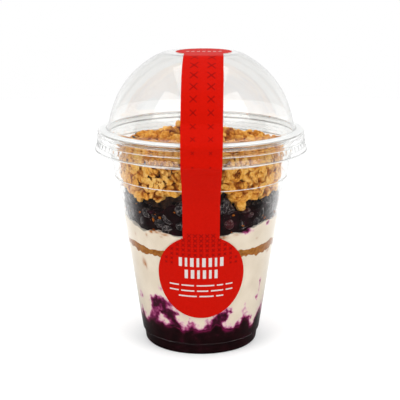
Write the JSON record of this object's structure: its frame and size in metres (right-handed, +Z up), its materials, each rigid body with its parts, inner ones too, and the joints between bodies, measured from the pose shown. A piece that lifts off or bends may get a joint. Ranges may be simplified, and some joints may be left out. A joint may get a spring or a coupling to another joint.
{
  "type": "yogurt parfait",
  "caption": "Layered yogurt parfait in a clear tapered cup with a dome lid, sealed by a red paper label that runs over the lid and down the front.",
  "frame": {"origin": "centre of the cup's foot, on the table", "axes": "+Z up along the cup's axis; the label and its round end face -Y"},
  "size_m": [0.1, 0.1006, 0.1407],
  "materials": {
    "clear_plastic": "clear thermoformed PET, high gloss",
    "label_paper": "red coated label paper, satin, with a tone on tone pattern and pale bars",
    "dark_berry_jam": "dark wet berry jam",
    "yogurt": "creamy yogurt, moist satin",
    "peanut_cream": "smooth nut cream, satin",
    "berries": "dark whole berries in their juice",
    "granola": "toasted oat clusters, rough with a light glaze"
  },
  "bodies": {
    "root": {"cup": "clear_plastic", "lid": "clear_plastic", "label": "label_paper", "jam": "dark_berry_jam", "yogurt_lower": "yogurt", "peanut_cream": "peanut_cream", "yogurt_upper": "yogurt", "berry_layer": "berries", "granola": "granola"}
  },
  "joints": []
}
